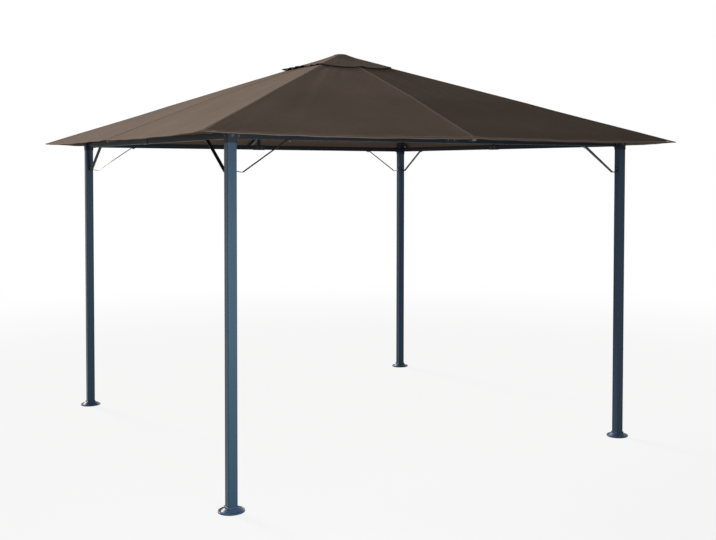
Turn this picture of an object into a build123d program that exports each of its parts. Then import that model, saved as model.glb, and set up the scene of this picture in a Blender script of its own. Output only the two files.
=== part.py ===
from build123d import *
import os
from math import cos, radians, sin, sqrt

os.makedirs("parts", exist_ok=True)

# A square garden gazebo: an open steel frame on four posts under a taut fabric roof.
# +X runs along the front side to the right, +Y runs from front to back, +Z is up.
# The origin is on the floor, in the middle of the four posts. Sizes are in mm.

# Overall sizes
canopy_size = 3300.0  # eave to eave
total_height = 2620.0  # floor to the top of the vent cap
post_pitch = 2785.0  # post centre to post centre
beam_underside = 1960.0  # floor to the underside of the beams
eave_height = 1980.0  # floor to the fabric's edge

# Tubes and straps
post_width = 53.0
post_radius = 6.0
beam_height = 36.0
beam_width = 22.0
beam_radius = 3.0
rafter_width = 25.0
rafter_height = 25.0
rafter_radius = 3.0
strap_width = 20.0
strap_thickness = 3.0

# Base plates, pressed from one sheet
plate_radius = 71.0
plate_thickness = 6.5
plate_floor = 4.0  # metal left under the post's end
flare_radius = 54.0
flare_height = 21.0
collar_width = 63.0
collar_height = 28.0
anchor_circle = 123.0  # diameter of the circle of anchor holes
anchor_hole = 9.0
anchor_count = 4

# Corner heads
head_width = 58.0
head_radius = 8.5
head_below_beam = 21.0
head_top_above_beam = 70.0
socket_wall = 3.0
socket_length = 20.0
saddle_width = 39.0
saddle_length = 74.0
saddle_grip = 14.0  # how far the saddle's cheeks rise beside the rafter

# Beam couplers
coupler_length = 96.0
coupler_wall = 2.5
cheek_thickness = 3.0
cheek_length = 26.0
stem_width = 20.0

# Post joint and braces
joint_drop = 110.0  # below the beam
groove_width = 1.6
groove_depth = 0.8
brace_drop = 177.0  # lowest point of a brace, below the beam
brace_stub = 40.0  # from the post's face to the bend at the lowest point
brace_meet = 297.0  # from the post's face to where the strap meets the beam
brace_tab = 30.0  # flat end under the beam
brace_bend = 20.0
brace_tab_height = 38.0  # from the lower tab's top to the lowest point
brace_fall = 9.0  # how far the stub falls from the post to the bend

# Fabric roof
sheet_thickness = 4.0
sheet_clear = 0.5  # between the fabric and what carries it
knee_corner = 942.0  # where the roof's slope changes, on the hips
knee_middle = 973.0  # the same level over the middle rafters
knee_height = 2261.0
middle_bulge = 5.0  # the eave stands out this much in the middle of a side
vent_half = 225.0
hem_height = 7.0
hem_width = 10.0
cap_half = 310.0
cap_bulge = 4.0
cap_drop = 107.0  # top of the cap to its edge
cap_flat = 38.0

# Hub at the top
hub_radius = 50.0
hub_height = 45.0
hub_disc_radius = 31.0
fit_clear = 0.3  # between a tube and the bracket that holds it

# Sizes that follow from the ones above
post_axis = post_pitch / 2
half_canopy = canopy_size / 2
half_middle = half_canopy + middle_bulge
canopy_peak = total_height - 2.0
beam_top = beam_underside + beam_height
beam_middle = beam_underside + beam_height / 2
head_bottom = beam_underside - head_below_beam
head_top = beam_underside + head_top_above_beam
post_top = head_top - 6.0
beam_start = post_axis - head_width / 2
brace_start = brace_drop - brace_tab_height
brace_reach = brace_meet + brace_tab
upper_corner_slope = (canopy_peak - knee_height) / knee_corner
lower_corner_slope = (knee_height - eave_height) / (half_canopy - knee_corner)
upper_middle_slope = (canopy_peak - knee_height) / knee_middle
lower_middle_slope = (knee_height - eave_height) / (half_middle - knee_middle)
vent_height = canopy_peak - upper_middle_slope * vent_half
vent_corner = (canopy_peak - vent_height) / upper_corner_slope
hip_drop = rafter_width / 2 * lower_middle_slope / sqrt(2) + sheet_clear
hip_depth = rafter_height / cos(radians(15.6))
middle_depth = rafter_height / cos(radians(21.8))
middle_drop = sheet_thickness + sheet_clear + 0.2
fork_seat = (
    eave_height
    + lower_middle_slope * (half_middle - post_axis - cheek_length / 2)
    - middle_drop
    - middle_depth
    - fit_clear
)

corners = {
    "front_left": (-1, -1),
    "front_right": (1, -1),
    "back_right": (1, 1),
    "back_left": (-1, 1),
}
# Each side: the direction that it faces, and the names of its left and right
# halves as seen from outside.
sides = {
    "front": (0, -1),
    "right": (1, 0),
    "back": (0, 1),
    "left": (-1, 0),
}


def side_plane(direction_x, direction_y, offset=0.0):
    """Upright plane through the centre line; local x runs outwards, local y is up."""
    length = sqrt(direction_x**2 + direction_y**2)
    outward = Vector(direction_x / length, direction_y / length, 0)
    normal = outward.cross(Vector(0, 0, 1))
    return Plane(origin=normal * offset, x_dir=outward, z_dir=normal)


def roof_outline(corner, middle):
    """Eight points of the roof's plan: its corners and the middles of its sides."""
    return [
        (-corner, -corner),
        (0, -middle),
        (corner, -corner),
        (middle, 0),
        (corner, corner),
        (0, middle),
        (-corner, corner),
        (-middle, 0),
    ]


def side_outline(side, corner, middle):
    """The quarter of the roof's plan that belongs to one side."""
    face_x, face_y = sides[side]
    along_x, along_y = -face_y, face_x
    return [
        (0, 0),
        (corner * (face_x - along_x), corner * (face_y - along_y)),
        (middle * face_x, middle * face_y),
        (corner * (face_x + along_x), corner * (face_y + along_y)),
    ]


def hip_profile(clear=0.0):
    """Side view of a hip rafter, bent at the knee and cut level at its outer end."""
    root = sqrt(2)
    drop = sheet_thickness + hip_drop
    start = hub_radius / root
    end = half_canopy - 50.0
    cut = eave_height + clear * -1
    top_start = canopy_peak - upper_corner_slope * start - drop
    top_knee = knee_height - drop
    top_end = eave_height + lower_corner_slope * (half_canopy - end) - drop
    level = half_canopy - (hip_depth + drop + clear) / lower_corner_slope
    return [
        (start * root, top_start + clear),
        (knee_corner * root, top_knee + clear),
        (end * root, top_end + clear),
        (end * root, cut),
        (level * root, cut),
        (knee_corner * root, top_knee - hip_depth - clear),
        (start * root, top_start - hip_depth - clear),
    ]


def hip_underside(reach):
    """Height of a hip rafter's underside, outside the knee."""
    top = knee_height - lower_corner_slope * (reach / sqrt(2) - knee_corner)
    return top - sheet_thickness - hip_drop - hip_depth


def middle_profile(clear=0.0):
    """Side view of a middle rafter. Its end shows just under the eave."""
    drop = middle_drop
    start = hub_radius
    end = half_canopy - 12.0
    cut = eave_height - 12.0 - clear
    top_start = canopy_peak - upper_middle_slope * start - drop
    top_knee = knee_height - drop
    top_end = eave_height + lower_middle_slope * (half_middle - end) - drop
    level = half_middle - (middle_depth + drop + clear - 12.0) / lower_middle_slope
    return [
        (start, top_start + clear),
        (knee_middle, top_knee + clear),
        (end, top_end + clear),
        (end, cut),
        (level, cut),
        (knee_middle, top_knee - middle_depth - clear),
        (start, top_start - middle_depth - clear),
    ]


def sheet_solid(outlines, levels, closed=False):
    """A sheet of even height in flat facets, between outlines at rising levels."""
    top = [
        [Vector(x, y, level) for x, y in outline] for outline, level in zip(outlines, levels)
    ]
    drop = Vector(0, 0, -sheet_thickness)
    faces = []

    def facet(*points):
        faces.append(Face(Wire.make_polygon(points)))

    for lower, upper in zip(top, top[1:]):
        for index in range(len(lower) - 1):
            near, far = lower[index], lower[index + 1]
            near_up, far_up = upper[index], upper[index + 1]
            odd = index % 2 == 1
            split = ((near, far_up), (far, near_up))[odd]
            for shift in (Vector(0, 0, 0), drop):
                for apex in ((far, near_up), (near, far_up))[odd]:
                    facet(split[0] + shift, split[1] + shift, apex + shift)
        if not closed:
            for end in (0, -1):
                facet(lower[end], upper[end], upper[end] + drop, lower[end] + drop)
    for index in range(len(top[0]) - 1):
        near, far = top[0][index], top[0][index + 1]
        facet(near, far, far + drop, near + drop)
    if closed:
        for shift in (Vector(0, 0, 0), drop):
            facet(*[point + shift for point in top[-1][:-1]])
    else:
        for index in range(len(top[-1]) - 1):
            near, far = top[-1][index], top[-1][index + 1]
            facet(near, far, far + drop, near + drop)
    return Solid(Shell(faces))


def save(builder, name):
    builder.part.label = name
    export_step(builder.part, f"parts/{name}.step")


# Base plates: a round flange, a pressed flare and a square collar round the post
for corner, (side_x, side_y) in corners.items():
    centre = (side_x * post_axis, side_y * post_axis)
    with BuildPart() as base_plate:
        with BuildSketch(Plane(origin=(*centre, 0), x_dir=(1, 0, 0), z_dir=(0, -1, 0))):
            with BuildLine():
                Polyline(
                    (flare_radius, plate_thickness),
                    (plate_radius, plate_thickness),
                    (plate_radius, 0),
                    (0, 0),
                    (0, flare_height),
                    (flare_radius - 17.0, flare_height),
                    (flare_radius, plate_thickness),
                )
            make_face()
        revolve(axis=Axis((*centre, 0), (0, 0, 1)))
        with BuildSketch():
            with Locations(centre):
                RectangleRounded(collar_width, collar_width, post_radius + 3.0)
        extrude(amount=collar_height)
        with BuildSketch(Plane.XY.offset(plate_floor)):
            with Locations(centre):
                RectangleRounded(post_width, post_width, post_radius)
        extrude(amount=collar_height, mode=Mode.SUBTRACT)
        with BuildSketch():
            with Locations(centre):
                with PolarLocations(anchor_circle / 2, anchor_count, start_angle=45):
                    Circle(anchor_hole / 2)
        extrude(amount=plate_thickness + 1.0, mode=Mode.SUBTRACT)
    save(base_plate, f"{corner}_base_plate")

# Posts: square tubes that stand in the base plates, with a joint line near the top
for corner, (side_x, side_y) in corners.items():
    centre = (side_x * post_axis, side_y * post_axis)
    with BuildPart() as post:
        with BuildSketch(Plane.XY.offset(plate_floor)):
            with Locations(centre):
                RectangleRounded(post_width, post_width, post_radius)
        extrude(amount=post_top - plate_floor)
        with BuildSketch(Plane.XY.offset(beam_underside - joint_drop)):
            with Locations(centre):
                Rectangle(post_width + 4.0, post_width + 4.0)
                inner_width = post_width - 2 * groove_depth
                RectangleRounded(
                    inner_width, inner_width, post_radius - groove_depth, mode=Mode.SUBTRACT
                )
        extrude(amount=groove_width, mode=Mode.SUBTRACT)
    save(post, f"{corner}_post")

# Corner heads: a sleeve over the post, a socket for each beam and a saddle for the hip rafter
for corner, (side_x, side_y) in corners.items():
    centre = (side_x * post_axis, side_y * post_axis)
    with BuildPart() as head:
        with BuildSketch(Plane.XY.offset(head_bottom)):
            with Locations(centre):
                RectangleRounded(head_width, head_width, head_radius)
        extrude(amount=head_top - head_bottom)
        socket_reach = head_width / 2 + socket_length
        socket_width = beam_width + 2 * socket_wall
        socket_height = beam_height + 2 * socket_wall
        with Locations((centre[0] - side_x * socket_reach / 2, centre[1], beam_middle)):
            Box(socket_reach, socket_width, socket_height)
        with Locations((centre[0], centre[1] - side_y * socket_reach / 2, beam_middle)):
            Box(socket_width, socket_reach, socket_height)
        with BuildSketch(side_plane(side_x, side_y)):
            inner_end = post_axis * sqrt(2) - saddle_length / 2
            outer_end = post_axis * sqrt(2) + saddle_length / 2
            Polygon(
                (inner_end, head_top - 3.0),
                (outer_end, head_top - 3.0),
                (outer_end, hip_underside(outer_end) + saddle_grip),
                (inner_end, hip_underside(inner_end) + saddle_grip),
                align=None,
            )
        extrude(amount=saddle_width / 2, both=True)
        with BuildSketch(Plane.XY.offset(head_bottom)):
            with Locations(centre):
                RectangleRounded(post_width, post_width, post_radius)
        extrude(amount=post_top - head_bottom, mode=Mode.SUBTRACT)
        with Locations((centre[0] - side_x * (head_width / 2 + 50), centre[1], beam_middle)):
            Box(100, beam_width, beam_height, mode=Mode.SUBTRACT)
        with Locations((centre[0], centre[1] - side_y * (head_width / 2 + 50), beam_middle)):
            Box(beam_width, 100, beam_height, mode=Mode.SUBTRACT)
        with BuildSketch(side_plane(side_x, side_y)):
            Polygon(*hip_profile(fit_clear), align=None)
        extrude(amount=rafter_width / 2 + fit_clear, both=True, mode=Mode.SUBTRACT)
    save(head, f"{corner}_corner_head")

# Beams: two tubes a side, butted together inside the coupler
for side, (face_x, face_y) in sides.items():
    for half, sign in (("left", -1), ("right", 1)):
        along = Vector(-face_y, face_x, 0) * sign
        face = Vector(face_x, face_y, 0) * post_axis
        section_plane = Plane(
            origin=face + Vector(0, 0, beam_middle),
            x_dir=(face_x, face_y, 0),
            z_dir=along,
        )
        with BuildPart() as beam:
            with BuildSketch(section_plane):
                RectangleRounded(beam_width, beam_height, beam_radius)
            extrude(amount=beam_start)
        save(beam, f"{side}_beam_{half}")

# Beam couplers: a sleeve over the joint, with a stem and a fork that hold the middle rafter
for side, (face_x, face_y) in sides.items():
    along = Vector(-face_y, face_x, 0)
    face = Vector(face_x, face_y, 0) * post_axis
    stem_bottom = beam_top + coupler_wall - 1.0
    fork_top = beam_top + 78.0
    fork_width = rafter_width + 2 * (fit_clear + cheek_thickness)
    sleeve_plane = Plane(
        origin=face + Vector(0, 0, beam_middle),
        x_dir=(face_x, face_y, 0),
        z_dir=along,
    )
    stem_plane = Plane(
        origin=face + Vector(0, 0, stem_bottom),
        x_dir=(face_x, face_y, 0),
        z_dir=(0, 0, 1),
    )
    with BuildPart() as coupler:
        with BuildSketch(sleeve_plane):
            RectangleRounded(
                beam_width + 2 * coupler_wall, beam_height + 2 * coupler_wall, beam_radius + 1.5
            )
        extrude(amount=coupler_length / 2, both=True)
        with BuildSketch(stem_plane):
            Rectangle(cheek_length, stem_width)
        extrude(amount=fork_seat - stem_bottom)
        with BuildSketch(stem_plane.offset(fork_seat - cheek_thickness - stem_bottom)):
            Rectangle(cheek_length, fork_width)
        extrude(amount=fork_top - fork_seat + cheek_thickness)
        with BuildSketch(stem_plane.offset(fork_seat - stem_bottom)):
            Rectangle(cheek_length + 4.0, rafter_width + 2 * fit_clear)
        extrude(amount=fork_top - fork_seat + 1.0, mode=Mode.SUBTRACT)
        with BuildSketch(sleeve_plane):
            RectangleRounded(beam_width, beam_height, beam_radius)
        extrude(amount=coupler_length, both=True, mode=Mode.SUBTRACT)
    save(coupler, f"{side}_beam_coupler")

# Braces: flat straps from each post up to the beams beside it, with a level stub at the post
for side, (face_x, face_y) in sides.items():
    for half, sign in (("left", -1), ("right", 1)):
        inward = Vector(-face_y, face_x, 0) * -sign
        post_face = Vector(face_x, face_y, 0) * post_axis
        post_face += Vector(-face_y, face_x, 0) * sign * (post_axis - post_width / 2)
        offset = strap_thickness / 2
        points = [
            (offset, -brace_start),
            (offset, -brace_drop + offset + brace_fall),
            (brace_stub, -brace_drop + offset),
            (brace_meet, -offset),
            (brace_reach, -offset),
        ]
        path_points = [
            post_face + inward * across + Vector(0, 0, beam_underside + height)
            for across, height in points
        ]
        with BuildPart() as brace:
            with BuildLine() as strap_path:
                FilletPolyline(*path_points, radius=[brace_bend * 0.3, brace_bend, brace_bend])
            section = Plane(
                origin=path_points[0],
                x_dir=(face_x, face_y, 0),
                z_dir=(0, 0, -1),
            )
            with BuildSketch(section):
                Rectangle(strap_width, strap_thickness)
            sweep()
        save(brace, f"{side}_brace_{half}")

# Hip rafters, from the hub over the corner heads to the roof's corners
for corner, (side_x, side_y) in corners.items():
    with BuildPart() as hip_rafter:
        with BuildSketch(side_plane(side_x, side_y)):
            Polygon(*hip_profile(), align=None)
        extrude(amount=rafter_width / 2, both=True)
        fillet(hip_rafter.edges().filter_by(lambda edge: edge.length > 300), rafter_radius)
    save(hip_rafter, f"{corner}_hip_rafter")

# Middle rafters, from the hub through the couplers' forks to the eaves
for side, (face_x, face_y) in sides.items():
    with BuildPart() as middle_rafter:
        with BuildSketch(side_plane(face_x, face_y)):
            Polygon(*middle_profile(), align=None)
        extrude(amount=rafter_width / 2, both=True)
        fillet(middle_rafter.edges().filter_by(lambda edge: edge.length > 300), rafter_radius)
    save(middle_rafter, f"{side}_middle_rafter")

# Hub: an eight-sided block that all rafters butt against, with a disc that lifts the cap
hub_top = canopy_peak - upper_middle_slope * hub_radius + 2.0
with BuildPart() as apex_hub:
    with BuildSketch(Plane.XY.offset(hub_top - hub_height)):
        RegularPolygon(hub_radius, 8, major_radius=False, rotation=22.5)
    extrude(amount=hub_height)
    with BuildSketch(Plane.XY.offset(hub_top - 1.0)):
        Circle(hub_disc_radius)
    extrude(amount=total_height - sheet_thickness - sheet_clear - hub_top + 1.0)
save(apex_hub, "apex_hub")

# Roof panels: one fabric shell in four quarters, meeting on the hips, open at the vent
rings = (
    (half_canopy, half_middle, eave_height),
    (knee_corner, knee_middle, knee_height),
    (vent_corner, vent_half, vent_height),
)
for side in sides:
    outlines = [side_outline(side, corner, middle)[1:] for corner, middle, _ in rings]
    levels = [level for _, _, level in rings]
    with BuildPart() as panel:
        add(sheet_solid(outlines, levels))
        with BuildSketch(Plane.XY.offset(eave_height - hem_height)):
            Polygon(*side_outline(side, half_canopy, half_middle), align=None)
            inner_corner = half_canopy - hem_width
            inner_middle = half_middle - hem_width
            Polygon(*roof_outline(inner_corner, inner_middle), align=None, mode=Mode.SUBTRACT)
        extrude(amount=hem_height)
    save(panel, f"canopy_{side}_panel")

# Vent cap: a small roof over the opening, resting on the hub's disc
cap_outlines = [
    roof_outline(cap_half, cap_half + cap_bulge),
    roof_outline(cap_flat / sqrt(2), cap_flat),
]
cap_outlines = [outline + outline[:1] for outline in cap_outlines]
with BuildPart() as vent_cap:
    add(sheet_solid(cap_outlines, [total_height - cap_drop, total_height], closed=True))
save(vent_cap, "vent_cap")
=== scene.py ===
from math import cos, floor, pi, radians, sin, sqrt

import bmesh
import bpy
from mathutils import Euler, Matrix, Vector, noise


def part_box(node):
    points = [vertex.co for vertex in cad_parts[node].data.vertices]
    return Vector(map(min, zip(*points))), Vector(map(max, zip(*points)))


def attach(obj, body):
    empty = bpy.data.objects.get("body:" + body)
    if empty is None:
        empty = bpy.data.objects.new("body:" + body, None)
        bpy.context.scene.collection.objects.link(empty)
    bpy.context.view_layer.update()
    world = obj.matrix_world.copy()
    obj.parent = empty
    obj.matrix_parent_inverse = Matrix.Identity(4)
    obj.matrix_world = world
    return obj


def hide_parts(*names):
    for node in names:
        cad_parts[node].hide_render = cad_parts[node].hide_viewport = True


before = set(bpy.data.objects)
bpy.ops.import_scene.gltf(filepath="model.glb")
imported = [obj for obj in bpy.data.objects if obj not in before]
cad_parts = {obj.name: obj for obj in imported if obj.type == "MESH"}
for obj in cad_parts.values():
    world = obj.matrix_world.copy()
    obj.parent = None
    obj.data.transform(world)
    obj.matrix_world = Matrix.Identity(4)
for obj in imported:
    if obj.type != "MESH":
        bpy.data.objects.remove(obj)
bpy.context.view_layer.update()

# Base plates
# Four round feet pressed from steel sheet, with a flare and a square collar that the
# post stands in. They are powder coated in a glossy navy and bolted down through the rim.


def shader_group(name, sockets):
    """A node group with named sockets; returns the group, its input and its output node."""
    group = bpy.data.node_groups.new(name, "ShaderNodeTree")
    for label, kind, way, value in sockets:
        socket = group.interface.new_socket(name=label, in_out=way, socket_type=kind)
        if value is not None:
            socket.default_value = value
    return group, group.nodes.new("NodeGroupInput"), group.nodes.new("NodeGroupOutput")


def new_node(tree, kind, inputs=(), **settings):
    """A node with its settings, its plain values and its links in one call."""
    node = tree.nodes.new(kind)
    for key, value in settings.items():
        setattr(node, key, value)
    for key, value in dict(inputs).items():
        if isinstance(value, bpy.types.NodeSocket):
            tree.links.new(value, node.inputs[key])
        else:
            node.inputs[key].default_value = value
    return node


def reckon(tree, operation, *values):
    """One step of arithmetic in a shader; returns its result."""
    return new_node(tree, "ShaderNodeMath", dict(enumerate(values)), operation=operation).outputs[0]


def ramp(tree, value, low, high, start=0.0, end=1.0):
    """Takes a value between low and high to one between start and end, and stops it there."""
    limits = {"Value": value, "From Min": low, "From Max": high, "To Min": start, "To Max": end}
    return new_node(tree, "ShaderNodeMapRange", limits).outputs[0]


def blend(tree, share, first, second, how="MIX"):
    """Mixes two colours by a share."""
    picks = {0: share, 6: first, 7: second}
    return new_node(tree, "ShaderNodeMix", picks, data_type="RGBA", blend_type=how).outputs[2]


def mottle(tree, place, scale, detail):
    """Noise of one grain size."""
    look = {"Vector": place, "Scale": scale, "Detail": detail}
    return new_node(tree, "ShaderNodeTexNoise", look).outputs["Fac"]


def new_surface(name):
    """A new material; returns it with its node tree and its shader."""
    material = bpy.data.materials.new(name)
    material.use_nodes = True
    return material, material.node_tree, material.node_tree.nodes["Principled BSDF"]


def powder_coat_group():
    """Baked powder: orange peel, cloudy gloss, rubbed edges and settled dust."""
    group, given, made = shader_group(
        "powder_coat",
        [
            ("Paint", "NodeSocketColor", "INPUT", (0.05, 0.05, 0.05, 1)),
            ("Rubbed", "NodeSocketColor", "INPUT", (0.2, 0.2, 0.2, 1)),
            ("Gloss", "NodeSocketFloat", "INPUT", 0.35),
            ("Wear", "NodeSocketFloat", "INPUT", 0.5),
            ("Dust", "NodeSocketFloat", "INPUT", 0.2),
            ("Colour", "NodeSocketColor", "OUTPUT", None),
            ("Roughness", "NodeSocketFloat", "OUTPUT", None),
            ("Height", "NodeSocketFloat", "OUTPUT", None),
        ],
    )
    place = new_node(group, "ShaderNodeTexCoord").outputs["Object"]
    peel = mottle(group, place, 700.0, 2.0)
    cloud = mottle(group, place, 6.0, 5.0)
    grit = mottle(group, place, 90.0, 6.0)
    # an edge is where the rounded normal leaves the true one
    soft = new_node(group, "ShaderNodeBevel", {"Radius": 0.0014}, samples=4)
    shape = new_node(group, "ShaderNodeNewGeometry")
    normals = {0: soft.outputs[0], 1: shape.outputs["True Normal"]}
    turn = new_node(group, "ShaderNodeVectorMath", normals, operation="DOT_PRODUCT")
    edge = ramp(group, turn.outputs["Value"], 0.985, 0.86)
    rub = reckon(group, "MULTIPLY", edge, ramp(group, grit, 0.45, 0.62))
    rub = reckon(group, "MULTIPLY", rub, given.outputs["Wear"])
    worn = blend(group, rub, given.outputs["Paint"], given.outputs["Rubbed"])
    # dust lies in patches, most of it on faces that look up
    upward = new_node(group, "ShaderNodeSeparateXYZ", {0: shape.outputs["Normal"]})
    lying = ramp(group, upward.outputs["Z"], 0.35, 1.0, 0.12)
    dust = reckon(group, "MULTIPLY", lying, ramp(group, cloud, 0.35, 0.75))
    dust = reckon(group, "MULTIPLY", dust, given.outputs["Dust"])
    dusty = blend(group, dust, worn, (0.16, 0.15, 0.135, 1))
    rough = reckon(group, "MULTIPLY_ADD", cloud, 0.16, given.outputs["Gloss"])
    rough = reckon(group, "MULTIPLY_ADD", dust, 0.4, rough)
    group.links.new(dusty, made.inputs["Colour"])
    group.links.new(rough, made.inputs["Roughness"])
    group.links.new(peel, made.inputs["Height"])
    return group


powder_coat = powder_coat_group()


def painted_steel(name, paint, rubbed, gloss, wear, dust, coat=0.0, shine=0.5):
    """Powder-coated steel in one colour."""
    material, tree, surface = new_surface(name)
    values = {"Paint": (*paint, 1), "Rubbed": (*rubbed, 1), "Gloss": gloss, "Wear": wear, "Dust": dust}
    finish = new_node(tree, "ShaderNodeGroup", values, node_tree=powder_coat)
    bump = new_node(
        tree,
        "ShaderNodeBump",
        {"Strength": 0.25, "Distance": 0.0004, "Height": finish.outputs["Height"]},
    )
    tree.links.new(finish.outputs["Colour"], surface.inputs["Base Color"])
    tree.links.new(finish.outputs["Roughness"], surface.inputs["Roughness"])
    tree.links.new(bump.outputs[0], surface.inputs["Normal"])
    surface.inputs["Specular IOR Level"].default_value = shine
    surface.inputs["Coat Weight"].default_value = coat
    surface.inputs["Coat Roughness"].default_value = 0.25
    return material


def finish_nodes(material, *names):
    """Gives CAD nodes their finish."""
    for name in names:
        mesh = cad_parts[name].data
        mesh.materials.clear()
        mesh.materials.append(material)


corners = {
    "front_left": (-1, -1),
    "front_right": (1, -1),
    "back_right": (1, 1),
    "back_left": (-1, 1),
}
plate_paint = painted_steel(
    "plate_paint", (0.036, 0.07, 0.128), (0.13, 0.16, 0.2), 0.36, 0.35, 0.12, coat=0.02, shine=0.16
)
finish_nodes(plate_paint, *[f"{corner}_base_plate" for corner in corners])

post_axis = 1.3925
post_half = 0.0265


def in_order(mesh):
    """The points and faces of a mesh, sorted by place. Some operators give them another order
    in each run."""
    points = sorted(mesh.verts, key=lambda vert: vert.co[:])
    number = {vert: index for index, vert in enumerate(points)}
    faces = []
    for face in mesh.faces:
        ring = [number[vert] for vert in face.verts]
        first = ring.index(min(ring))
        faces.append(ring[first:] + ring[:first])
    return [vert.co[:] for vert in points], sorted(faces)


def finished_piece(mesh, name, material, smooth=35):
    """Turns a bmesh into a piece that rides on the frame."""
    bmesh.ops.recalc_face_normals(mesh, faces=mesh.faces)
    data = bpy.data.meshes.new(name)
    if len(mesh.loops.layers.uv):
        mesh.to_mesh(data)
    else:
        points, faces = in_order(mesh)
        data.from_pydata(points, [], faces)
    mesh.free()
    data.materials.append(material)
    data.shade_smooth()
    if smooth:
        data.set_sharp_from_angle(angle=radians(smooth))
    piece = bpy.data.objects.new(name, data)
    bpy.context.scene.collection.objects.link(piece)
    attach(piece, "root")
    return piece


def rounded_square(mesh, width, radius, height):
    """A closed loop of a square with rounded corners, at a height."""
    square = bmesh.ops.create_grid(mesh, x_segments=1, y_segments=1, size=width / 2)["verts"]
    bmesh.ops.bevel(
        mesh,
        geom=square,
        offset=radius,
        segments=5,
        profile=0.5,
        affect="VERTICES",
        material=-1,
    )
    bmesh.ops.delete(mesh, geom=list(mesh.faces), context="FACES_ONLY")
    bmesh.ops.translate(mesh, vec=(0, 0, height), verts=mesh.verts)


def grow_ring(mesh, level, steps):
    """Extrudes a closed loop through steps of scale and height, and closes it on itself."""
    first = edges = list(mesh.edges)
    width = 1.0
    for scale, height in steps:
        made = bmesh.ops.extrude_edge_only(mesh, edges=edges)["geom"]
        fresh = [item for item in made if isinstance(item, bmesh.types.BMVert)]
        edges = [item for item in made if isinstance(item, bmesh.types.BMEdge)]
        edges = [edge for edge in edges if all(vert in fresh for vert in edge.verts)]
        bmesh.ops.scale(mesh, vec=(scale / width, scale / width, 1), verts=fresh)
        bmesh.ops.translate(mesh, vec=(0, 0, height - level), verts=fresh)
        width, level = scale, height
    bmesh.ops.bridge_loops(mesh, edges=first + edges)


def take_in(mesh, part, place):
    """Adds a small mesh to a piece at its place, and frees it."""
    bmesh.ops.translate(part, vec=place, verts=part.verts)
    holder = bpy.data.meshes.new("holder")
    part.to_mesh(holder)
    part.free()
    mesh.from_mesh(holder)
    bpy.data.meshes.remove(holder)


rim_reach, bead_middle, bead_height = 0.0716, 0.0676, 0.0047
collar_width, collar_radius, collar_height = 0.0534, 0.0062, 0.0292
lip_steps = ((1.09, 0.0302), (1.165, 0.0294), (1.2, 0.0272), (1.19, 0.024), (1.0, 0.023))
plate_trim = bmesh.new()
for side_x, side_y in corners.values():
    bead = bmesh.new()
    start = bead.verts.new((rim_reach, 0, bead_height))
    bmesh.ops.spin(
        bead,
        geom=[start],
        cent=(bead_middle, 0, bead_height),
        axis=(0, 1, 0),
        angle=2 * pi,
        steps=12,
        use_merge=True,
    )
    bmesh.ops.spin(
        bead,
        geom=list(bead.verts) + list(bead.edges),
        cent=(0, 0, 0),
        axis=(0, 0, 1),
        angle=2 * pi,
        steps=72,
        use_merge=True,
    )
    lip = bmesh.new()
    rounded_square(lip, collar_width, collar_radius, collar_height)
    grow_ring(lip, collar_height, lip_steps)
    for part in (bead, lip):
        take_in(plate_trim, part, (side_x * post_axis, side_y * post_axis, 0))
finished_piece(plate_trim, "plate_trim", plate_paint, smooth=60)

# Posts
# Square steel tubes with rounded corners, powder coated in a steel blue. Each stands in
# its base plate and is closed at the top by the corner head.

post_paint = painted_steel(
    "post_paint", (0.034, 0.067, 0.106), (0.12, 0.14, 0.17), 0.26, 0.35, 0.08, shine=0.12
)
finish_nodes(post_paint, *[f"{corner}_post" for corner in corners])

# Joint bands
# A thin dark plastic band fills the joint between the post's two tubes, under the head.

band_width = 2 * post_half + 0.0006
band_radius, band_bottom = 0.0063, 1.8476
band_steps = ((1.0, 1.8508), (0.955, 1.8504), (0.955, 1.848))
joint_bands = bmesh.new()
for side_x, side_y in corners.values():
    band = bmesh.new()
    rounded_square(band, band_width, band_radius, band_bottom)
    grow_ring(band, band_bottom, band_steps)
    take_in(joint_bands, band, (side_x * post_axis, side_y * post_axis, 0))


def moulded_plastic(name, tint, gloss):
    """Moulded plastic with a fine spark texture."""
    material, tree, surface = new_surface(name)
    place = new_node(tree, "ShaderNodeTexCoord").outputs["Object"]
    grain = mottle(tree, place, 900.0, 2.0)
    cloud = mottle(tree, place, 14.0, 3.0)
    tone = blend(tree, cloud, (*[0.75 * part for part in tint], 1), (*tint, 1))
    rough = reckon(tree, "MULTIPLY_ADD", cloud, 0.2, gloss)
    bump = new_node(tree, "ShaderNodeBump", {"Strength": 0.3, "Distance": 0.0003, "Height": grain})
    tree.links.new(tone, surface.inputs["Base Color"])
    tree.links.new(rough, surface.inputs["Roughness"])
    tree.links.new(bump.outputs[0], surface.inputs["Normal"])
    return material


band_plastic = moulded_plastic("band_plastic", (0.012, 0.016, 0.022), 0.5)
finished_piece(joint_bands, "joint_bands", band_plastic, smooth=40)

# Screws and bolts
# Pan heads of blackened steel hold the joints of the frame. The hexagon bolts of the
# forks, the braces, the saddles and the hub come with those pieces below.


def plated_steel(name, tint, gloss):
    """Dull plated steel with faint streaks."""
    material, tree, surface = new_surface(name)
    place = new_node(tree, "ShaderNodeTexCoord").outputs["Object"]
    streak = mottle(tree, place, 260.0, 3.0)
    tone = blend(tree, streak, (*[0.7 * part for part in tint], 1), (*tint, 1))
    rough = reckon(tree, "MULTIPLY_ADD", streak, 0.25, gloss)
    tree.links.new(tone, surface.inputs["Base Color"])
    tree.links.new(rough, surface.inputs["Roughness"])
    surface.inputs["Metallic"].default_value = 0.9
    return material


def facing(direction):
    """Turns +Z to a direction."""
    return Vector(direction).to_track_quat("Z", "Y").to_matrix().to_4x4()


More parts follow.
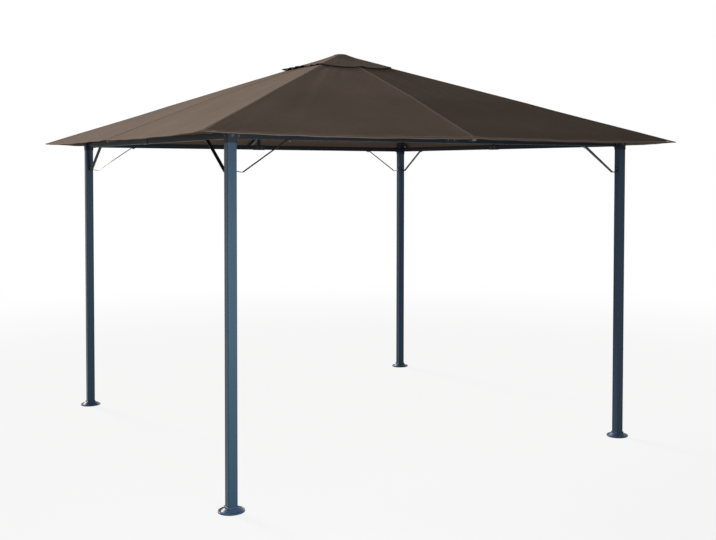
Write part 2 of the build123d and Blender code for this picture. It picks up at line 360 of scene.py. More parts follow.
def add_pan_head(mesh, at, direction, radius=0.0048):
    """A domed head with a slot sunk in it, on a thin washer."""
    washer = bmesh.ops.create_cone(
        mesh, cap_ends=True, segments=20, radius1=radius * 1.35, radius2=radius * 1.3, depth=0.001
    )["verts"]
    bmesh.ops.translate(mesh, verts=washer, vec=(0, 0, 0.0005))
    head = bmesh.ops.create_cone(
        mesh, cap_ends=True, segments=20, radius1=radius, radius2=radius * 0.72, depth=0.0024
    )["verts"]
    bmesh.ops.translate(mesh, verts=head, vec=(0, 0, 0.0022))
    ends = {face for vert in head for face in vert.link_faces}
    crown = max(ends, key=lambda face: face.calc_center_median().z)
    rim = bmesh.ops.inset_individual(mesh, faces=[crown], thickness=radius * 0.35, depth=0.0)
    bmesh.ops.translate(mesh, verts=list(crown.verts), vec=(0, 0, -0.0012))
    verts = washer + head + [v for face in rim["faces"] for v in face.verts if v not in head]
    verts = list({*verts, *crown.verts})
    bmesh.ops.transform(mesh, matrix=Matrix.Translation(at) @ facing(direction), verts=verts)


def add_hex_bolt(mesh, at, direction, across=0.010, height=0.0045):
    """A hexagon head with chamfered corners, on a washer."""
    washer = bmesh.ops.create_cone(
        mesh, cap_ends=True, segments=20, radius1=across * 0.78, radius2=across * 0.76, depth=0.0012
    )["verts"]
    bmesh.ops.translate(mesh, verts=washer, vec=(0, 0, 0.0006))
    head = bmesh.ops.create_cone(
        mesh, cap_ends=True, segments=6, radius1=across * 0.577, radius2=across * 0.577, depth=height
    )["verts"]
    bmesh.ops.translate(mesh, verts=head, vec=(0, 0, 0.0012 + height / 2))
    top = [edge for vert in head for edge in vert.link_edges]
    top = [edge for edge in set(top) if all(v.co.z > height for v in edge.verts)]
    made = bmesh.ops.bevel(
        mesh, geom=top, offset=0.0007, segments=2, profile=0.5, affect="EDGES", material=-1
    )
    verts = {v for v in [*washer, *head, *made["verts"]] if v.is_valid}
    bmesh.ops.transform(mesh, matrix=Matrix.Translation(at) @ facing(direction), verts=list(verts))


screw_steel = plated_steel("screw_steel", (0.1, 0.105, 0.115), 0.35)
head_half = 0.029
beam_middle, tab_height = 1.978, 1.811
strap_thickness = 0.003
socket_reach, socket_half = 0.041, 0.014
screws = bmesh.new()
for side_x, side_y in corners.values():
    axis = Vector((side_x * post_axis, side_y * post_axis, 0))
    for outward in (Vector((side_x, 0, 0)), Vector((0, side_y, 0))):
        add_pan_head(screws, axis + outward * head_half + Vector((0, 0, beam_middle)), outward, 0.0055)
    for inward in (Vector((-side_x, 0, 0)), Vector((0, -side_y, 0))):
        tab = axis + inward * (post_half + strap_thickness) + Vector((0, 0, tab_height))
        add_pan_head(screws, tab, inward)
        sideways = Vector((-inward.y, inward.x, 0))
        sideways *= 1 if sideways.dot(axis) > 0 else -1
        socket = axis + inward * socket_reach + sideways * socket_half
        add_pan_head(screws, socket + Vector((0, 0, beam_middle)), sideways)
finished_piece(screws, "frame_screws", screw_steel)

# Corner heads
# A cast head over each post, with a socket for each beam and a saddle for the hip rafter,
# in a satin black coat. Each is held by the screws above.

fitting_paint = painted_steel(
    "fitting_paint", (0.013, 0.018, 0.026), (0.1, 0.1, 0.11), 0.38, 0.4, 0.1, shine=0.15
)
finish_nodes(fitting_paint, *[f"{corner}_corner_head" for corner in corners])

# Beams and couplers
# Two rectangular tubes a side meet inside a short steel sleeve, which also carries the
# fork for the middle rafter. A screw on each face holds each half in the sleeve, and a
# hexagon bolt goes through the fork.

sides = {"front": (0, -1), "right": (1, 0), "back": (0, 1), "left": (-1, 0)}
beam_paint = painted_steel(
    "beam_paint", (0.010, 0.013, 0.018), (0.09, 0.1, 0.11), 0.38, 0.4, 0.12, shine=0.12
)
beam_nodes = [f"{side}_beam_{half}" for side in sides for half in ("left", "right")]
finish_nodes(beam_paint, *beam_nodes)
finish_nodes(fitting_paint, *[f"{side}_beam_coupler" for side in sides])

sleeve_half, sleeve_screw = 0.0135, 0.022
fork_half, fork_bolt = 0.0158, 2.0665
coupler_screws = bmesh.new()
for face_x, face_y in sides.values():
    outward = Vector((face_x, face_y, 0))
    along = Vector((-face_y, face_x, 0))
    for way in (1, -1):
        for shift in (-sleeve_screw, sleeve_screw):
            at = outward * (post_axis + way * sleeve_half) + along * shift
            add_pan_head(coupler_screws, at + Vector((0, 0, beam_middle)), outward * way)
    for way in (1, -1):
        at = outward * post_axis + along * way * fork_half + Vector((0, 0, fork_bolt))
        add_hex_bolt(coupler_screws, at, along * way)
finished_piece(coupler_screws, "coupler_screws", screw_steel)

# Braces
# Flat steel straps, hooked at the lower end and screwed to the post, bent flat at the
# upper end and bolted under the beam.

strap_paint = painted_steel(
    "strap_paint", (0.008, 0.009, 0.011), (0.1, 0.1, 0.11), 0.36, 0.25, 0.08, shine=0.25
)
brace_nodes = [f"{side}_brace_{half}" for side in sides for half in ("left", "right")]
finish_nodes(strap_paint, *brace_nodes)

brace_span, brace_seat = 0.314, 1.957
brace_bolts = bmesh.new()
for face_x, face_y in sides.values():
    outward = Vector((face_x, face_y, 0))
    along = Vector((-face_y, face_x, 0))
    for way in (1, -1):
        reach = post_axis - post_half - brace_span
        at = outward * post_axis + along * way * reach + Vector((0, 0, brace_seat))
        add_hex_bolt(brace_bolts, at, (0, 0, -1))
finished_piece(brace_bolts, "brace_bolts", screw_steel)

# Rafters and hub
# Eight square tubes run from the hub to the eave: four over the corner heads, four
# through the couplers' forks. Plastic plugs close the middle rafters' ends at the eave.

rafter_paint = painted_steel(
    "rafter_paint", (0.012, 0.014, 0.018), (0.1, 0.1, 0.11), 0.36, 0.3, 0.08, shine=0.25
)
hip_rafters = [f"{corner}_hip_rafter" for corner in corners]
middle_rafters = [f"{side}_middle_rafter" for side in sides]
finish_nodes(rafter_paint, *hip_rafters, *middle_rafters)
finish_nodes(fitting_paint, "apex_hub")

saddle_half, saddle_bolt, hub_bolt_circle = 0.0195, 2.0545, 0.034
small_across, small_height = 0.008, 0.0035
rafter_bolts = bmesh.new()
for side_x, side_y in corners.values():
    diagonal = Vector((side_x, side_y, 0)).normalized()
    across = Vector((-diagonal.y, diagonal.x, 0))
    for way in (1, -1):
        middle = Vector((side_x * post_axis, side_y * post_axis, saddle_bolt))
        at = middle + across * way * saddle_half
        add_hex_bolt(rafter_bolts, at, across * way, small_across, small_height)
hub_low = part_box("apex_hub")[0].z
for turn in range(8):
    angle = turn * pi / 4
    at = Vector((cos(angle) * hub_bolt_circle, sin(angle) * hub_bolt_circle, hub_low))
    add_hex_bolt(rafter_bolts, at, (0, 0, -1), small_across, small_height)
finished_piece(rafter_bolts, "rafter_bolts", screw_steel)

plug_plastic = moulded_plastic("plug_plastic", (0.16, 0.155, 0.15), 0.4)
plug_size, plug_place, plug_rise = (0.025, 0.003, 0.013), 1.6395, 0.0068
plugs = bmesh.new()
for side, (face_x, face_y) in sides.items():
    outward = Vector((face_x, face_y, 0))
    along = Vector((-face_y, face_x, 0))
    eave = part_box(f"{side}_middle_rafter")[0].z
    block = bmesh.ops.create_cube(plugs, size=1.0)["verts"]
    bmesh.ops.scale(plugs, vec=plug_size, verts=block)
    edges = list({edge for vert in block for edge in vert.link_edges})
    rounded = bmesh.ops.bevel(
        plugs, geom=edges, offset=0.0012, segments=2, profile=0.5, affect="EDGES", material=-1
    )
    verts = [v for v in {*block, *rounded["verts"]} if v.is_valid]
    square_on = Matrix.Rotation(along.xy.angle_signed(Vector((1, 0))), 3, "Z")
    bmesh.ops.rotate(plugs, verts=verts, matrix=square_on)
    at = outward * plug_place + Vector((0, 0, eave + plug_rise))
    bmesh.ops.translate(plugs, verts=verts, vec=at)
finished_piece(plugs, "rafter_plugs", plug_plastic)

# Canopy
# One sewn cover of coated polyester, pulled taut over the rafters: four panels joined by
# felled seams on the hips, a pocket along each middle rafter, a hem round the eave, and a
# vent left open at the top. It is held by its own tension and by two eyelets at each corner.


def woven_cloth_group():
    """Plain weave in thread-sized crossings, with slubs and a cloudy dye."""
    group, given, made = shader_group(
        "woven_cloth",
        [
            ("Cloth", "NodeSocketVector", "INPUT", None),
            ("Light", "NodeSocketColor", "INPUT", (0.2, 0.16, 0.13, 1)),
            ("Dark", "NodeSocketColor", "INPUT", (0.15, 0.12, 0.1, 1)),
            ("Threads", "NodeSocketFloat", "INPUT", 900.0),
            ("Colour", "NodeSocketColor", "OUTPUT", None),
            ("Height", "NodeSocketFloat", "OUTPUT", None),
        ],
    )
    cloth = given.outputs["Cloth"]
    threads = {0: cloth, "Scale": given.outputs["Threads"]}
    warp = new_node(group, "ShaderNodeVectorMath", threads, operation="SCALE")
    split = new_node(group, "ShaderNodeSeparateXYZ", {0: warp.outputs[0]})
    across = reckon(group, "SINE", split.outputs["X"])
    down = reckon(group, "SINE", split.outputs["Y"])
    cross = reckon(group, "MULTIPLY", across, down)
    slub = mottle(group, cloth, 220.0, 3.0)
    cloud = mottle(group, cloth, 2.2, 5.0)
    fine = mottle(group, cloth, 30.0, 4.0)
    weave = reckon(group, "MULTIPLY_ADD", cross, 0.5, slub)
    dye = reckon(group, "MULTIPLY_ADD", fine, 0.35, cloud)
    shade = reckon(group, "MULTIPLY_ADD", weave, 0.12, ramp(group, dye, 0.4, 0.95))
    colour = blend(group, shade, given.outputs["Dark"], given.outputs["Light"])
    group.links.new(colour, made.inputs["Colour"])
    group.links.new(weave, made.inputs["Height"])
    return group


woven_cloth = woven_cloth_group()


def stitch_group():
    """A row of lockstitches at a set distance from the edge that V is measured from."""
    group, given, made = shader_group(
        "stitch_row",
        [
            ("Cloth", "NodeSocketVector", "INPUT", None),
            ("Distance", "NodeSocketFloat", "INPUT", 0.02),
            ("Pitch", "NodeSocketFloat", "INPUT", 0.004),
            ("Mask", "NodeSocketFloat", "OUTPUT", None),
        ],
    )
    split = new_node(group, "ShaderNodeSeparateXYZ", {0: given.outputs["Cloth"]})
    beside = reckon(group, "SUBTRACT", split.outputs["Y"], given.outputs["Distance"])
    row = ramp(group, reckon(group, "ABSOLUTE", beside), 0.0011, 0.0005)
    step = reckon(group, "DIVIDE", split.outputs["X"], given.outputs["Pitch"])
    gap = ramp(group, reckon(group, "FRACT", step), 0.74, 0.8, 1.0, 0.0)
    group.links.new(reckon(group, "MULTIPLY", row, gap), made.inputs["Mask"])
    return group


stitch_row = stitch_group()


thread_wave, stitch_pitch = 0.0016, 0.005


def coated_polyester(name, light, dark, rows, painted_facets=False):
    """Dyed polyester with rows of stitches beside its edge. When asked, its colour is multiplied
    by a painted shade for each of the cover's eight facets, which stands in for the light
    falling on that facet."""
    material, tree, surface = new_surface(name)
    cloth = new_node(tree, "ShaderNodeUVMap", uv_map="cloth").outputs[0]
    dyes = {"Cloth": cloth, "Light": (*light, 1), "Dark": (*dark, 1), "Threads": 2 * pi / thread_wave}
    weave = new_node(tree, "ShaderNodeGroup", dyes, node_tree=woven_cloth)
    colour = weave.outputs["Colour"]
    height = weave.outputs["Height"]
    if painted_facets:
        # painted shade: each facet's colour is multiplied by its own factor, standing in for the light
        # on it
        tone = new_node(tree, "ShaderNodeAttribute", attribute_name="painted_facet_shade")
        colour = blend(tree, 1.0, colour, tone.outputs["Color"], "MULTIPLY")
    thread = (*[1.5 * part for part in light], 1)
    for distance in rows:
        line = {"Cloth": cloth, "Distance": distance, "Pitch": stitch_pitch}
        row = new_node(tree, "ShaderNodeGroup", line, node_tree=stitch_row)
        colour = blend(tree, row.outputs["Mask"], colour, thread)
        height = reckon(tree, "MULTIPLY_ADD", row.outputs["Mask"], 2.5, height)
    bump = new_node(tree, "ShaderNodeBump", {"Strength": 0.35, "Distance": 0.0004, "Height": height})
    tree.links.new(colour, surface.inputs["Base Color"])
    tree.links.new(bump.outputs[0], surface.inputs["Normal"])
    surface.inputs["Roughness"].default_value = 0.9
    surface.inputs["Specular IOR Level"].default_value = 0.02
    return material


canopy_cloth = coated_polyester(
    "canopy_cloth", (0.168, 0.124, 0.096), (0.136, 0.1, 0.078), (0.022, 0.004), painted_facets=True
)

half_canopy, half_middle, eave_height = 1.65, 1.655, 1.98
knee_corner, knee_middle, knee_height = 0.942, 0.973, 2.261
canopy_peak = 2.618
vent_middle = 0.225
upper_middle_slope = (canopy_peak - knee_height) / knee_middle
vent_height = canopy_peak - upper_middle_slope * vent_middle
vent_corner = vent_middle * knee_corner / knee_middle
sheet_drop = 0.0018
knee_share = 0.5
rafter_dip, edge_pull, rafter_round = 0.009, 0.010, 0.0008
corner_lift, middle_lift = 0.010, 0.004
corner_fan, vent_pleat, edge_wave = 0.0015, 0.0006, 0.0012
long_wave, drawn_streak, slack_fold = 0.0030, 0.0018, 0.0022
held_width = 0.03
panel_up = (0, -0.36, 0.93)
eave_length, slope_length = 8 * half_canopy, 1.53
cloth_thickness = 0.0012


def eased(value):
    """Smooth step from 0 to 1."""
    value = min(max(value, 0.0), 1.0)
    return value * value * (3 - 2 * value)


def between(low, high, share):
    """The value at a share of the way from low to high."""
    return low + (high - low) * share


def cloth_noise(point, scale, seed):
    """Smooth noise over the plan of the roof."""
    return noise.noise(Vector((point.x * scale, point.y * scale, seed)))


def along_slope(up, eave, knee, vent):
    """A measure that runs from the eave, over the knee of the roof, to the vent."""
    if up < knee_share:
        return between(eave, knee, up / knee_share)
    return between(knee, vent, (up - knee_share) / (1 - knee_share))


def corner_reach(up):
    """How far out from the middle the hips are."""
    return along_slope(up, half_canopy, knee_corner, vent_corner)


def canopy_point(quarter, across, up):
    """A point of the taut cover. across runs from -1 at one hip over the middle rafter to 1
    at the next hip, and up runs from the eave at 0 to the vent at 1."""
    side_share = 1 - abs(across)
    corner = corner_reach(up)
    middle = along_slope(up, half_middle, knee_middle, vent_middle)
    height = along_slope(up, eave_height, knee_height, vent_height)
    out = between(corner, middle, side_share)
    # the cloth dips a little between two rafters, and its edge pulls in between them
    dip = 4 * side_share * (1 - side_share)
    belly = 0.35 + 0.65 * sin(pi * min(up * 1.2, 1.0))
    height -= rafter_dip * dip * (corner / half_canopy) * belly
    out -= edge_pull * dip * eased(1 - up / 0.12)
    # the rafters' ends lift the corners and the middle of each eave
    from_hip = side_share * half_canopy
    from_middle = abs(across) * half_canopy
    height += corner_lift * max(0.0, 1 - from_hip / 0.6) ** 2 * eased(1 - up / 0.45)
    height += middle_lift * max(0.0, 1 - from_middle / 0.2) ** 2 * eased(1 - up / 0.3)
    # soft rounding where it rides over a rafter
    height -= rafter_round * max(0.0, 1 - abs(across) * corner / 0.03) ** 2
    point = Vector((across * corner, -out, height))
    point.rotate(Euler((0, 0, quarter * pi / 2)))
    return point


def canopy_wrinkle(point, across, up):
    """Small drawn folds: fans at the corners and the vent, long waves on the panels."""
    tip_x = half_canopy - abs(point.x)
    tip_y = half_canopy - abs(point.y)
    from_tip = sqrt(max(0.0, tip_x**2 + tip_y**2))
    fan = sin(34 * abs(abs(point.x) - abs(point.y)) / (from_tip + 0.12) + 3 * point.x)
    lift = corner_fan * fan * eased(1 - from_tip / 0.5) * eased(from_tip / 0.05)
    pleat = sin(across * 38 + 5 * cloth_noise(point, 2.0, 3.1))
    lift += vent_pleat * pleat * eased((up - 0.7) / 0.3)
    lift += long_wave * cloth_noise(point, 1.7, 0.4)
    streak = noise.noise(Vector((across * 11 + point.x, up * 1.6, 5.5)))
    lift += drawn_streak * streak * eased(up / 0.2) * eased((1 - up) / 0.15)
    # slack drawn into upright folds below the vent, to the right of the front middle rafter
    if point.y < -abs(point.x) and across > 0:
        fold = sin(point.x * 74 + 2.5 * cloth_noise(point, 4.0, 7.7))
        lift += (
            slack_fold
            * fold
            * eased((up - 0.55) / 0.15)
            * eased((0.97 - up) / 0.1)
            * eased(across / 0.3)
        )
    edge = sin(point.x * 23 + point.y * 19 + 4 * cloth_noise(point, 1.1, 2.2))
    lift += edge_wave * edge * eased(1 - up / 0.1)
    return lift


def cloth_grid(point_at, columns, rows, measure):
    """A sheet from a bmesh grid: columns run round the roof and close, and rows run up it."""
    mesh = bmesh.new()
    bmesh.ops.create_grid(mesh, x_segments=columns, y_segments=rows, size=0.5)
    layer = mesh.loops.layers.uv.new("cloth")
    places = {}
    for vert in mesh.verts:
        places[vert] = (vert.co.x + 0.5, vert.co.y + 0.5)
    for face in mesh.faces:
        for loop in face.loops:
            loop[layer].uv = measure(*places[loop.vert])
    for vert, (round_share, up) in places.items():
        vert.co = point_at(round_share, up)
    bmesh.ops.remove_doubles(mesh, verts=mesh.verts, dist=0.00002)
    return mesh


def spread(share):
    """Packs the columns closer where the cloth bends over a rafter."""
    return between(share, 0.5 - 0.5 * cos(pi * share), 0.55)


def surface_at(quarter, across, up):
    """The cover with its folds, which the seams and the hem follow too."""
    point = canopy_point(quarter, across, up)
    outward = Vector(panel_up)
    outward.rotate(Euler((0, 0, quarter * pi / 2)))
    # the folds die out on the hips and nearly so on the middle rafters
    off_hip = eased((1 - abs(across)) * half_canopy / held_width)
    off_middle = between(0.1, 1.0, eased(abs(across) * half_canopy / held_width))
    lift = canopy_wrinkle(point, across, up) * off_hip * off_middle
    return point + outward * lift - Vector((0, 0, sheet_drop))


def canopy_at(round_share, up):
    """The cover as one sheet that runs round the roof."""
    quarter = min(floor(round_share * 4 + 1e-9), 3)
    local = (round_share * 4 - quarter) * 2
    half = min(floor(local + 1e-9), 1)
    return surface_at(quarter, -1 + half + spread(local - half), up)


def canopy_measure(round_share, up):
    """Cloth coordinates in metres: along the eave, and up from it."""
    return (round_share * eave_length, up * slope_length)


def give_body(piece, thickness, offset=-1):
    """Gives a sheet the thickness of its cloth."""
    body = piece.modifiers.new("cloth_body", "SOLIDIFY")
    body.thickness = thickness
    body.offset = offset


canopy_mesh = cloth_grid(canopy_at, 384, 84, canopy_measure)
# Painted shade: each of the eight facets is darkened by its own factor, most of all the front facet
# right of the middle rafter and the front half of the right side, standing in for the light on them.
painted_facet_shades = {"front": (0.96, 0.64), "right": (0.74, 0.84), "back": (0.88, 0.94), "left": (0.9, 1.0)}
painted_shade_layer = canopy_mesh.faces.layers.float_color.new("painted_facet_shade")
for face in canopy_mesh.faces:
    centre = face.calc_center_median()
    for side, (face_x, face_y) in sides.items():
        out = centre.x * face_x + centre.y * face_y
        along = centre.x * -face_y + centre.y * face_x
        if out > abs(along):
            tone = painted_facet_shades[side][0 if along < 0 else 1]
            face[painted_shade_layer] = (tone, tone * 0.985, tone * 0.975, 1)
canopy = finished_piece(canopy_mesh, "canopy", canopy_cloth, smooth=0)
give_body(canopy, cloth_thickness)
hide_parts(*[f"canopy_{side}_panel" for side in sides])

# Canopy seams and hem
# The felled seam on each hip, the pocket over each middle rafter and the folded hem are
# double cloth of the same stuff, each sewn down with two rows of stitches.

# This cloth is coloured lighter than the cover's; the lightness is a painted highlight along the hips
# and middle rafters.
seam_cloth_painted_highlight = coated_polyester(
    "seam_cloth_painted_highlight", (0.2, 0.151, 0.12), (0.166, 0.125, 0.099), (0.004, 0.019)
)


def seam_strip(mesh, beside, width, lift):
    """A narrow double strip that follows a line on the cover."""
    layer = mesh.loops.layers.uv.verify()
    made = bmesh.ops.create_grid(mesh, x_segments=90, y_segments=4, size=0.5)["verts"]
    places = {vert: (vert.co.x + 0.5, vert.co.y) for vert in made}
    faces = {face for vert in made for face in vert.link_faces}
    for face in faces:
        for loop in face.loops:
            share, off = places[loop.vert]
            loop[layer].uv = (share * 2.2, (off + 0.5) * width)
    for vert, (share, off) in places.items():
        rise = lift - (lift + 0.0004) * (2 * abs(off)) ** 6
        vert.co = beside(share, off * width) + Vector((0, 0, rise))


seam_low, seam_high = 0.004, 0.992
hip_seam, middle_pocket = (0.024, 0.0009), (0.03, 0.0007)
seams = bmesh.new()
seams.loops.layers.uv.new("cloth")
for quarter in range(4):

    def beside_hip(share, off, quarter=quarter):
        """A point beside the hip, on the panel that it falls on."""
        up = between(seam_low, seam_high, share)
        step = abs(off) * sqrt(2) / corner_reach(up)
        if off < 0:
            return surface_at((quarter + 3) % 4, 1 - step, up)
        return surface_at(quarter, -1 + step, up)

    def beside_middle(share, off, quarter=quarter):
        """A point beside the middle rafter."""
        up = between(seam_low, seam_high, share)
        return surface_at(quarter, off / corner_reach(up), up)

    seam_strip(seams, beside_hip, *hip_seam)
    seam_strip(seams, beside_middle, *middle_pocket)
seam_piece = finished_piece(seams, "canopy_seams", seam_cloth_painted_highlight, smooth=0)
give_body(seam_piece, cloth_thickness)


hem_reach, hem_length = 0.026, 0.052
hem_outside, hem_inside = 0.0012, 0.0032
fold_depth, fold_half, fold_shift = 0.0026, 0.0022, 0.001
flap_share, fold_share, inner_share = 0.4, 0.2, 0.6


def hem_at(round_share, turn):
    """The hem's section: up the outside, round the fold at the eave and up the inside."""
    quarter = min(floor(round_share * 4 + 1e-9), 3)
    across = (round_share * 4 - quarter) * 2 - 1
    edge = surface_at(quarter, across, 0.0)
    above = surface_at(quarter, across, 0.03)
    climb = (above - edge).normalized()
    # the fold is mitred at the corners
    mitre = pi / 4 * eased((abs(across) - 0.985) / 0.015) * (1 if across > 0 else -1)
    out = Vector((0, -1, 0))
    out.rotate(Euler((0, 0, quarter * pi / 2 + mitre)))
    proud = climb.cross(Vector((0, 0, 1)).cross(out)).normalized()
    if proud.z < 0:
        proud = -proud
    if turn < flap_share:
        down = between(hem_reach, 0.0, turn / flap_share)
        return edge + climb * down + proud * hem_outside
    if turn > inner_share:
        back = between(0.0, hem_reach, (turn - inner_share) / flap_share)
        return edge + climb * back - proud * hem_inside
    angle = pi * (turn - flap_share) / fold_share
    bulge = fold_half * cos(angle) - fold_shift
    return edge - climb * fold_depth * sin(angle) + proud * bulge


hem_mesh = cloth_grid(hem_at, 320, 14, lambda share, turn: (share * eave_length, turn * hem_length))
hem_cloth = coated_polyester(
    "hem_cloth", (0.17, 0.126, 0.098), (0.138, 0.102, 0.08), (0.004, 0.048)
)
hem = finished_piece(hem_mesh, "canopy_hem", hem_cloth, smooth=0)
give_body(hem, 0.0008, 0)

# Eyelets
# A pressed brass ring on each side of every corner of the cover, where it is tied down.

eyelet_brass = plated_steel("eyelet_brass", (0.5, 0.46, 0.38), 0.35)
eyelet_across, eyelet_up, eyelet_radius, eyelet_lift = 0.965, 0.0065, 0.0044, 0.0017
eyelet_steps = ((1.25, 0.0014), (1.5, 0.0012), (1.68, 0.0), (1.6, -0.0004))
eyelets = bmesh.new()
for quarter in range(4):
    for across in (-eyelet_across, eyelet_across):
        at = surface_at(quarter, across, eyelet_up)
        climb = surface_at(quarter, across, 0.02) - at
        level = Vector((1, 0, 0))
        level.rotate(Euler((0, 0, quarter * pi / 2)))
        ring = bmesh.new()
        bmesh.ops.create_circle(ring, cap_ends=False, segments=20, radius=eyelet_radius)
        grow_ring(ring, 0.0, eyelet_steps)
        turned = facing(level.cross(climb).normalized()).to_3x3()
        bmesh.ops.rotate(ring, matrix=turned, verts=ring.verts)
        take_in(eyelets, ring, at + turned @ Vector((0, 0, eyelet_lift)))
eyelet_piece = finished_piece(eyelets, "canopy_eyelets", eyelet_brass, smooth=50)

# Vent cap
# A small second roof of the same cloth over the opening, so that wind blows out under it.
# It rests on the disc of the hub, and its hemmed edge ripples where nothing pulls it.

cap_cloth = coated_polyester(
    "cap_cloth", (0.165, 0.122, 0.095), (0.128, 0.095, 0.074), (0.018, 0.004)
)
cap_reaches = (0.298, 0.274, 0.292, 0.305)
cap_middle, cap_edge = 0.305, 2.5135
cap_flat = 0.038
cap_top = 2.62
cap_slip = Vector((0.012, -0.008, 0))
cap_sag, cap_dip, cap_pleat, cap_fold = 0.006, 0.003, 0.006, 0.005
slack_out, slack_down, blown_up = 0.034, 0.016, 0.009
cap_clear = 0.003
cap_girth, cap_slope = 2.5, 0.3


def cap_at(round_share, up):
    """A point of the cap, from its edge at 0 to the disc at 1. Its corners reach out unevenly
    and its top has slipped a little to one side."""
    quarter = min(floor(round_share * 4 + 1e-9), 3)
    across = (round_share * 4 - quarter) * 2 - 1
    side_share = 1 - abs(across)
    reach = cap_reaches[quarter if across < 0 else (quarter + 1) % 4]
    corner = between(reach, cap_flat / sqrt(2), up)
    middle = between(cap_middle, cap_flat, up)
    out = between(corner, middle, side_share)
    height = between(cap_edge, cap_top, up) - sheet_drop
    dip = 4 * side_share * (1 - side_share)
    loose = eased(1 - up / 0.9)
    edge = eased(1 - up / 0.35)
    seed = Vector((quarter * 3.7 + across * 2.1, up * 0.8, 1.3))
    pleat = sin(across * 17 + quarter * 1.7 + 0.9 * up + 2.4 * noise.noise(seed))
    fold = noise.noise(seed * 2.3)
    height -= cap_sag * 4 * up * (1 - up) + cap_dip * dip * loose
    height += (cap_pleat * pleat + cap_fold * fold) * loose * (0.35 + 0.65 * dip)
    # the front and right edges hang slack from rafter to rafter, the others are blown up a little
    if quarter < 2:
        out += slack_out * dip * edge
        height -= slack_down * dip * edge
    else:
        blown = 1 - eased((across + 0.1) / 0.9) if quarter == 3 else 1.0
        height += blown_up * eased(1 - up / 0.2) * blown
    height = max(height, canopy_peak - upper_middle_slope * out + cap_clear)
    if up > 0.999:
        height = cap_top - sheet_drop
    point = Vector((across * corner, -out, height))
    point.rotate(Euler((0, 0, quarter * pi / 2)))
    return point + cap_slip * up


cap_mesh = cloth_grid(cap_at, 256, 30, lambda share, up: (share * cap_girth, up * cap_slope))
crown = [edge for edge in cap_mesh.edges if edge.is_boundary and edge.verts[0].co.z > 2.6]
bmesh.ops.holes_fill(cap_mesh, edges=crown, sides=0)
cap = finished_piece(cap_mesh, "vent_cap_cover", cap_cloth, smooth=0)
give_body(cap, 0.0014)
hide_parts("vent_cap")

# Studio
# A pale floor under soft light: a low key from behind, a soft fill that stands before the
# near post, and a white surround that the camera and the gloss see.


def rays_that_see_white(tree):
    """1 for the rays of the camera, the gloss and the glass, 0 for the light on the piece."""
    seen = new_node(tree, "ShaderNodeLightPath").outputs
    either = reckon(tree, "MAXIMUM", seen["Is Camera Ray"], seen["Is Glossy Ray"])
    return reckon(tree, "MAXIMUM", either, seen["Is Transmission Ray"])


floor_half = 60
floor_mesh = bmesh.new()
bmesh.ops.create_grid(floor_mesh, x_segments=2, y_segments=2, size=floor_half)
floor_data = bpy.data.meshes.new("studio_floor")
floor_mesh.to_mesh(floor_data)
floor_mesh.free()
studio_floor = bpy.data.objects.new("studio_floor", floor_data)
bpy.context.scene.collection.objects.link(studio_floor)
floor_paper, tree, surface = new_surface("floor_paper")
surface.inputs["Base Color"].default_value = (0.38, 0.38, 0.38, 1)
surface.inputs["Roughness"].default_value = 0.9
surface.inputs["Specular IOR Level"].default_value = 0.0
glow = new_node(tree, "ShaderNodeEmission", {"Color": (1, 1, 1, 1), "Strength": 1.0})
place = new_node(tree, "ShaderNodeTexCoord").outputs["Object"]
distance = new_node(tree, "ShaderNodeVectorMath", {0: place}, operation="LENGTH")
whiter = new_node(
    tree,
    "ShaderNodeMapRange",
    {"Value": distance.outputs["Value"], "From Min": 3.0, "From Max": 9.0, "To Min": 0.88},
    interpolation_type="SMOOTHSTEP",
)
share = reckon(tree, "MULTIPLY", rays_that_see_white(tree), whiter.outputs[0])
mix = new_node(tree, "ShaderNodeMixShader", {0: share})
tree.links.new(surface.outputs[0], mix.inputs[1])
tree.links.new(glow.outputs[0], mix.inputs[2])
tree.links.new(mix.outputs[0], tree.nodes["Material Output"].inputs["Surface"])
floor_data.materials.append(floor_paper)

world = bpy.data.worlds.new("studio_surround")
bpy.context.scene.world = world
world.use_nodes = True
tree = world.node_tree
soft = tree.nodes["Background"]
soft.inputs["Color"].default_value = (0.87, 0.94, 1.0, 1)
soft.inputs["Strength"].default_value = 0.285
white = new_node(tree, "ShaderNodeBackground", {"Color": (1, 1, 1, 1), "Strength": 1.0})
mix = new_node(tree, "ShaderNodeMixShader", {0: rays_that_see_white(tree)})
tree.links.new(soft.outputs[0], mix.inputs[1])
tree.links.new(white.outputs[0], mix.inputs[2])
tree.links.new(mix.outputs[0], tree.nodes["World Output"].inputs["Surface"])


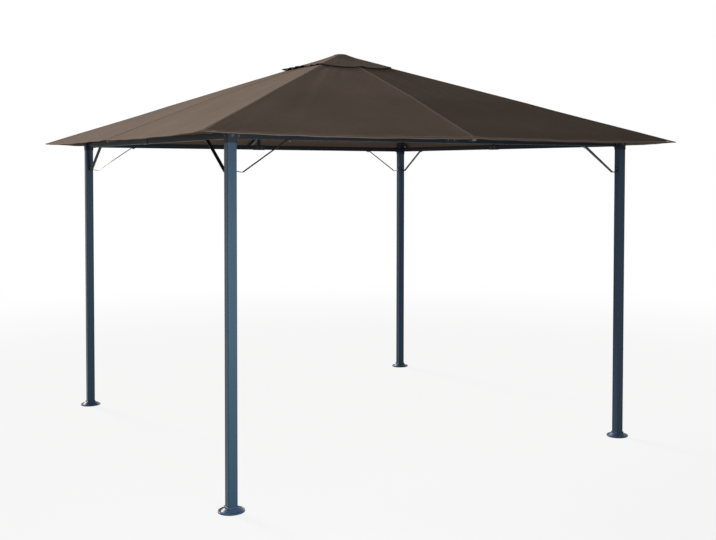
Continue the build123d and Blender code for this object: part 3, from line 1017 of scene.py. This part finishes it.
def sun_lamp(name, towards, power, spread, tint):
    """A far soft lamp, that shines from a direction."""
    lamp = bpy.data.lights.new(name, "SUN")
    lamp.energy = power
    lamp.angle = spread
    lamp.color = tint
    stand = bpy.data.objects.new(name, lamp)
    stand.rotation_euler = Vector(towards).to_track_quat("Z", "Y").to_euler()
    bpy.context.scene.collection.objects.link(stand)


sun_lamp("key_lamp", (-0.17, 0.88, 0.42), 4.8, 0.25, (1.0, 0.94, 0.86))
softbox = bpy.data.lights.new("fill_lamp", "AREA")
softbox.shape = "RECTANGLE"
softbox.size, softbox.size_y = 0.5, 1.5
softbox.spread = radians(130)
softbox.energy = 43
softbox.color = (0.9, 0.96, 1.0)
stand = bpy.data.objects.new("fill_lamp", softbox)
stand.location = (-1.15, -4.1, 1.05)
near_post = Vector((-post_axis, -post_axis, 1.0))
towards = near_post - stand.location
stand.rotation_euler = towards.to_track_quat("-Z", "Y").to_euler()
stand.visible_camera = False
bpy.context.scene.collection.objects.link(stand)

# Camera
# A normal lens at eye height, off the front left corner.

lens_view = bpy.data.cameras.new("camera")
camera = bpy.data.objects.new("camera", lens_view)
bpy.context.scene.collection.objects.link(camera)
bpy.context.scene.camera = camera
picture_width, picture_height = 716, 540
film_width, focal_pixels = 36.0, 988.9
lens_x, lens_y = 411.6, 200
lens_view.sensor_width = film_width
lens_view.lens = film_width * focal_pixels / picture_width
lens_view.shift_x = (picture_width / 2 - lens_x) / picture_width
lens_view.shift_y = (lens_y - picture_height / 2) / picture_width
lens_view.clip_end = 200
yaw, pitch, roll = radians(32.648), radians(-1.834), radians(0.162)
ahead = Vector((sin(yaw) * cos(pitch), cos(yaw) * cos(pitch), sin(pitch)))
right = Vector((cos(yaw), -sin(yaw), 0))
above = right.cross(ahead)
right, above = cos(roll) * right + sin(roll) * above, -sin(roll) * right + cos(roll) * above
turn = Matrix((right, above, -ahead)).transposed()
camera.location = (-3.3786, -6.2437, 1.8091)
camera.rotation_euler = turn.to_euler()
bpy.context.scene.view_settings.view_transform = "Standard"
